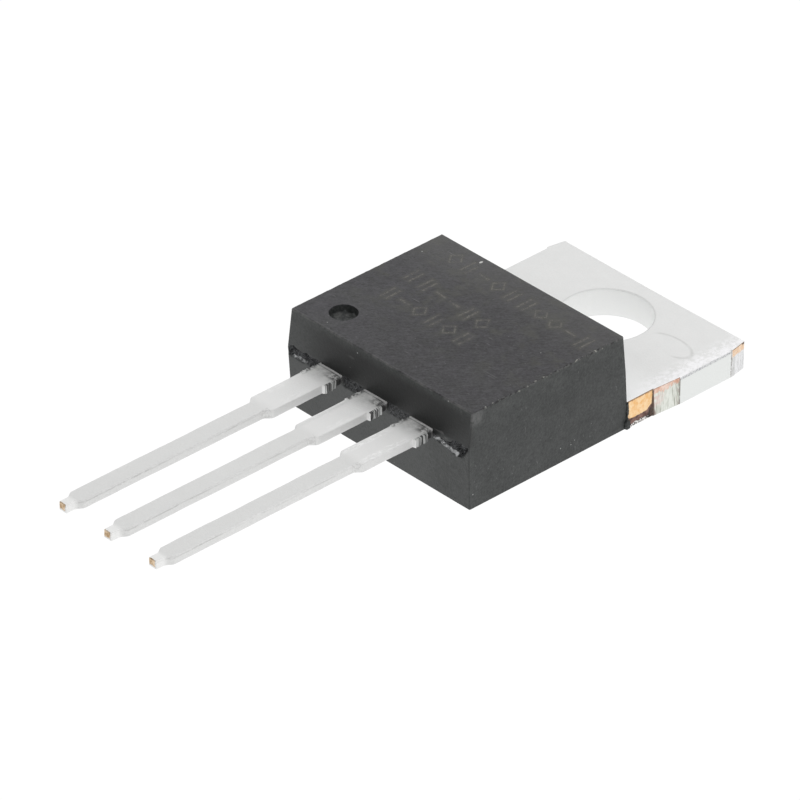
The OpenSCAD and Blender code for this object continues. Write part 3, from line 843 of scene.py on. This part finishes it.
def corner_zone(f):
    """Colour of the chamfered corner: pale streaks, olive at its start, and a torn copper patch on top."""
    color = f.mix(f.streak.rise(0.30, 0.62), (0.70, 0.70, 0.70), (0.88, 0.88, 0.89))
    olive = f.y.rise(CORNER_Y + 0.26, CORNER_Y - 0.02) * f.streak.rise(0.48, 0.58)
    color = f.mix(olive * 0.55, color, (0.27, 0.28, 0.23))
    torn_copper = f.mix(f.ragged.rise(0.3, 0.7), (0.84, 0.55, 0.34), (0.96, 0.80, 0.64))
    torn = (f.z + (f.ragged - 0.5) * 0.3).rise(0.86, 0.96) * f.y.rise(CORNER_Y - 0.05, CORNER_Y + 0.02)
    return f.mix(torn, color, torn_copper)


def tab_side(f, near_seam, torn_z):
    """The zones of the tab's side, with dark seams, a dark rim above the cuts and a spot at the end."""
    f.paint(f.sheared, sheared_zone(f, near_seam, torn_z))
    f.paint(f.dragged, dragged_zone(f))
    plated = f.x.size().rise(TAB_HALF - 0.04, TAB_HALF - 0.01) * f.y.band(TIE_END_Y, CORNER_Y - 0.07, 0.02)
    f.paint(plated * 0.75, (0.81, 0.832, 0.815))
    f.paint(f.corner, corner_zone(f))
    wider_below = f.z.rise(0.95, 0.10) * 0.05
    seams = ((f.y - SHEAR_END_Y).size() - wider_below).rise(0.05, 0.015)
    seams = seams + (f.y - TIE_END_Y).size().rise(0.035, 0.01) * 0.8
    seams = seams + (f.y - CORNER_Y + 0.07).size().rise(0.035, 0.01) * f.speck.rise(0.42, 0.52) * 0.9
    rim = (f.sheared + f.dragged) * f.z.rise(TAB_T - 0.05, TAB_T - 0.02) * 0.7
    rim = rim + f.corner * f.z.rise(TAB_T - 0.07, TAB_T - 0.03) * 0.8
    spot = f.y.rise(TAB_END_Y - 0.22, TAB_END_Y - 0.14) * f.z.rise(TAB_T - 0.16, TAB_T - 0.08)
    marks = (seams * f.z.rise(1.3, 1.15) + rim) * f.ragged.rise(0.30, 0.5) + spot
    f.paint(f.side * marks.low(1.0) * 0.9, (0.10, 0.06, 0.045))


def arc_scuff(f):
    """Mask of the arc scuffed on the tab's top: most of an ellipse beside the hole."""
    arc_x = (f.x - 3.28) / 1.12
    arc_y = (f.y - 0.24) / 0.58
    ring = ((arc_x * arc_x + arc_y * arc_y).math("SQRT") - 1).size().rise(0.13, 0.01)
    drawn_part = (arc_y + arc_x * 0.55).rise(-0.70, -0.40) * f.x.rise(2.1, 2.5)
    return ring * f.tab_top * drawn_part * (0.5 + f.patch.rise(0.3, 0.6) * 0.5)


def tab_face(f, arc, hole, rim_line):
    """The tab's top, with painted light by the case, pale smears and a painted highlight along the right
    edge, the scuff, and the hole's rim and wall.
    """
    # Painted light: the tab's top brightened near the case.
    f.paint(f.tab_top * f.y.rise(-1.2, -3.5) * 0.9, (0.97, 0.975, 0.97))
    f.paint(arc * 0.26, (0.30, 0.30, 0.28))
    # Pale smears near the right edge, with a painted highlight along the edge itself.
    smears = f.x.rise(TAB_HALF - 1.1, TAB_HALF - 0.2) * f.noise(0.22, 4, 0.75, shift=12.0).rise(0.42, 0.60)
    smears_and_edge_glint = (smears + f.x.rise(TAB_HALF - 0.6, TAB_HALF - 0.15) * 0.35).low(1.0)
    f.paint(f.tab_top * smears_and_edge_glint * 0.9, (0.98, 0.975, 0.99))
    roll_line = f.x.rise(TAB_HALF - 0.10, TAB_HALF - 0.05) * f.z.band(TAB_T - 0.15, TAB_T - 0.05, 0.05)
    roll_line = roll_line * f.y.band(TIE_END_Y, CORNER_Y - 0.1, 0.05)
    f.paint(roll_line * (f.speck.rise(0.48, 0.60) * 0.5 + 0.25), (0.30, 0.30, 0.33))
    f.paint(rim_line * 0.12, (0.22, 0.24, 0.21))
    f.paint(hole.rise(HOLE_R + 0.02, HOLE_R) * 0.6, (0.94, 0.95, 0.94))


def cut_tip(f):
    """Mask of the copper bared on a lead's cut end, ragged and clear of its right edge."""
    across = (f.local + (f.ragged - 0.5) * 0.16).rise(0.16, 0.11)
    upright = (f.z + (f.ragged - 0.5) * 0.12).band(LEAD_UNDER + 0.09, LEAD_TOP - 0.005, 0.04)
    return f.y.rise(TIP_Y + 0.05, TIP_Y + 0.035) * across * upright


def tinned_copper():
    """Matte tin over copper: soft mottling, drawing lines, grey lead roots, and copper bared at the cuts."""
    f = MetalFinish("tinned_copper")
    tone = 0.5 + (f.mottle - 0.5) * 0.6 + (f.fine - 0.5) * 0.6
    f.color = f.mix(tone, (0.735, 0.737, 0.731), (0.85, 0.852, 0.844))
    lead_faces(f)
    lead_wear(f)
    grey = f.out.rise(1.15, 0.10) * f.patch.rise(0.25, 0.75) * f.on_lead
    stub = f.out.band(0.34, STUB_END - 0.03, 0.02) * f.local.size().rise(LEAD_HALF + 0.02, LEAD_HALF + 0.04)
    stub = stub * f.on_lead
    torn = f.noise(0.06, 2, 0.6, stretch=(40, 1, 40), shift=35.0)
    lead_roots(f, grey, stub, torn)
    near_seam = f.y.rise(SHEAR_END_Y - 0.38, SHEAR_END_Y - 0.06)
    torn_z = f.z + (f.ragged - 0.5) * 0.14 - near_seam * 0.22
    tab_side(f, near_seam, torn_z)
    arc = arc_scuff(f)
    hole = (f.x * f.x + f.y * f.y).math("SQRT")
    rim_line = (hole - HOLE_R - 0.03).size().rise(0.035, 0.01) * f.z.rise(TAB_T - 0.08, TAB_T - 0.02)
    tab_face(f, arc, hole, rim_line)
    # Painted light: the nubs at the lead tips brightened towards white.
    f.paint(f.y.rise(TIP_Y + 0.60, TIP_Y + 0.35) * 0.6, (0.97, 0.97, 0.96))
    tip = cut_tip(f)
    f.paint(tip, f.mix(f.ragged.rise(0.35, 0.65), (0.46, 0.31, 0.17), (0.80, 0.62, 0.43)))
    bare = (f.sheared * torn_z.rise(0.37, 0.42) + tip).low(1.0)
    roughness = 0.46 + (f.mottle - 0.5) * 0.2 + grey * 0.1 - bare * 0.06
    drawn = f.noise(0.10, 2, 0.5, stretch=(1, 14, 1), shift=2.0)
    height = (f.fine - 0.5) * 0.008 + (drawn - 0.5) * 0.004 + (f.mottle - 0.5) * 0.006 - arc * 0.01
    height = height + (f.dragged + f.corner) * (f.streak - 0.5) * 0.05 + stub * (torn - 0.5) * 0.05
    height = height - rim_line * 0.01
    return f.set(Base_Color=f.color, Roughness=roughness, Metallic=0.3 + bare * 0.4, Normal=f.relief(height))


def silicon():
    """Polished silicon with faint rows of circuit blocks and a bare rim."""
    f = Finish("silicon")
    cells = f.node("ShaderNodeTexVoronoi", {"Vector": f.place, "Scale": 3.2}, distance="CHEBYCHEV")
    blocks = f.node("ShaderNodeSeparateColor", {0: cells.output("Color")})
    f.color = f.mix(blocks, (0.10, 0.12, 0.16), (0.22, 0.20, 0.24))
    f.paint(cells.rise(0.42, 0.48), (0.45, 0.46, 0.48))
    roughness = 0.16 + f.noise(0.3, 2) * 0.12
    height = cells.rise(0.40, 0.46) * 0.004
    return f.set(Base_Color=f.color, Roughness=roughness, Metallic=0.35, Normal=f.relief(height))


def solder():
    """Dull solder with a frosted, slightly rippled skin."""
    f = Finish("solder")
    frost = f.noise(0.06, 3, 0.6)
    ripple = f.noise(0.4, 2)
    color = f.mix(frost, (0.40, 0.40, 0.42), (0.58, 0.58, 0.60))
    height = (ripple - 0.5) * 0.02 + (frost - 0.5) * 0.004
    return f.set(Base_Color=color, Roughness=0.42 + frost * 0.2, Metallic=0.9, Normal=f.relief(height))


def bond_aluminium():
    """Bright drawn aluminium wire: fine die lines with small bright and dull patches."""
    f = Finish("bond_aluminium")
    die_lines = f.noise(0.03, 2, 0.5, stretch=(1, 12, 1))
    patches = f.noise(0.2, 3)
    color = f.mix(patches, (0.74, 0.74, 0.76), (0.86, 0.86, 0.88))
    roughness = 0.26 + die_lines * 0.14
    return f.set(Base_Color=color, Roughness=roughness, Metallic=0.95, Normal=f.relief(die_lines * 0.004))


# ---------------------------------------------------------------- the part
compound = moulding_compound()
tin = tinned_copper()
solid("case_body", [case_shell(), *squeezed_shells()], compound, "moulded_case")
solid("tab_with_ground_lead", [tab_shell(), lead_shell(-ROW_SHIFT, HEADER_END_Y + 0.25, riser=True)],
      tin, "tab_and_ground_lead")
for name, side in (("input_lead", -1), ("output_lead", 1)):
    shells = [lead_shell(side * PITCH - ROW_SHIFT, SEAT_Y + 0.5), post_shell(side)]
    solid(name + "_bar", shells, tin, name)

inner = {"silicon_die": silicon(), "die_attach_solder": solder()}
wire_finish = bond_aluminium()
for name, piece in frame["nodes"].items():
    finish = inner.get(name, wire_finish if name.endswith("bond_wire") else tin)
    piece.data.materials.clear()
    piece.data.materials.append(compound if name == "moulded_case" else finish)

# ---------------------------------------------------------------- studio
CAMERA_AIM = (-1.419, -9.770, 0.906)
CAMERA_TURN = (46.717, 33.104, 0.3075)
CAMERA_AWAY = 303.02
CAMERA_LENS = 352.02
FLOOR_Z = -0.02
FLOOR_HALF = 1500
CARD_X = (-70, 22)
CARD_Y = -62
CARD_Z = (0.5, 45)


def add_camera():
    """A long lens that looks down on the leads' side from the right."""
    azimuth, elevation, roll = np.radians(CAMERA_TURN)
    away = np.array([np.sin(azimuth), -np.cos(azimuth), 0.0])
    back = away * np.cos(elevation) + np.array([0.0, 0.0, np.sin(elevation)])
    level = np.array([np.cos(azimuth), np.sin(azimuth), 0.0])
    upright = np.cross(back, level)
    right = np.cos(roll) * level + np.sin(roll) * upright
    up = np.cos(roll) * upright - np.sin(roll) * level
    data = bpy.data.cameras.new("camera")
    data.lens = CAMERA_LENS
    data.sensor_width = 36
    data.clip_start = 0.01
    data.clip_end = 100
    camera = bpy.data.objects.new("camera", data)
    bpy.context.scene.collection.objects.link(camera)
    turn = Matrix(np.stack([right, up, back], axis=1).tolist()).to_4x4()
    place = Vector((np.array(CAMERA_AIM) + back * CAMERA_AWAY) * MM)
    camera.matrix_world = Matrix.Translation(place) @ turn
    bpy.context.scene.camera = camera


def glow(name, color, strength):
    """Plain emission, for the white floor."""
    material = bpy.data.materials.new(name)
    material.use_nodes = True
    shader = material.node_tree.nodes["Principled BSDF"]
    shader.inputs["Base Color"].default_value = (0, 0, 0, 1)
    shader.inputs["Specular IOR Level"].default_value = 0
    shader.inputs["Emission Color"].default_value = (*color, 1)
    shader.inputs["Emission Strength"].default_value = strength
    return material


def panel(name, corners, material):
    """One flat studio panel through four corners in millimetres."""
    mesh = bpy.data.meshes.new(name)
    mesh.from_pydata((np.array(corners, float) * MM).tolist(), [], [(0, 1, 2, 3)])
    mesh.materials.append(material)
    piece = bpy.data.objects.new(name, mesh)
    bpy.context.scene.collection.objects.link(piece)
    return piece


def add_sky():
    """White overhead, greyer towards the horizon."""
    world = bpy.data.worlds.new("studio")
    bpy.context.scene.world = world
    world.use_nodes = True
    tree = world.node_tree
    place = tree.nodes.new("ShaderNodeTexCoord")
    axes = tree.nodes.new("ShaderNodeSeparateXYZ")
    ramp = tree.nodes.new("ShaderNodeMapRange")
    tree.links.new(place.outputs["Generated"], axes.inputs[0])
    tree.links.new(axes.outputs["Z"], ramp.inputs["Value"])
    for key, value in {"From Min": 0.0, "From Max": 0.42, "To Min": 0.72, "To Max": 1.0}.items():
        ramp.inputs[key].default_value = value
    tree.links.new(ramp.outputs[0], tree.nodes["Background"].inputs["Strength"])
    tree.nodes["Background"].inputs["Color"].default_value = (1, 1, 1, 1)


def add_floor():
    """A white floor just under the part."""
    signs = ((-1, -1), (1, -1), (1, 1), (-1, 1))
    corners = [(x * FLOOR_HALF, y * FLOOR_HALF, FLOOR_Z) for x, y in signs]
    panel("floor", corners, glow("white_floor", (1, 1, 1), 1.03))


def add_dark_card():
    """A black card beyond the lead tips, unseen by the camera, that darkens the case above the leads."""
    (left, right), y, (low, high) = CARD_X, CARD_Y, CARD_Z
    corners = [(left, y, low), (right, y, low), (right, y, high), (left, y, high)]
    card = panel("dark_card", corners, glow("card", (0, 0, 0), 0))
    card.visible_camera = False


add_camera()
add_sky()
add_floor()
add_dark_card()
bpy.context.scene.view_settings.view_transform = "Standard"
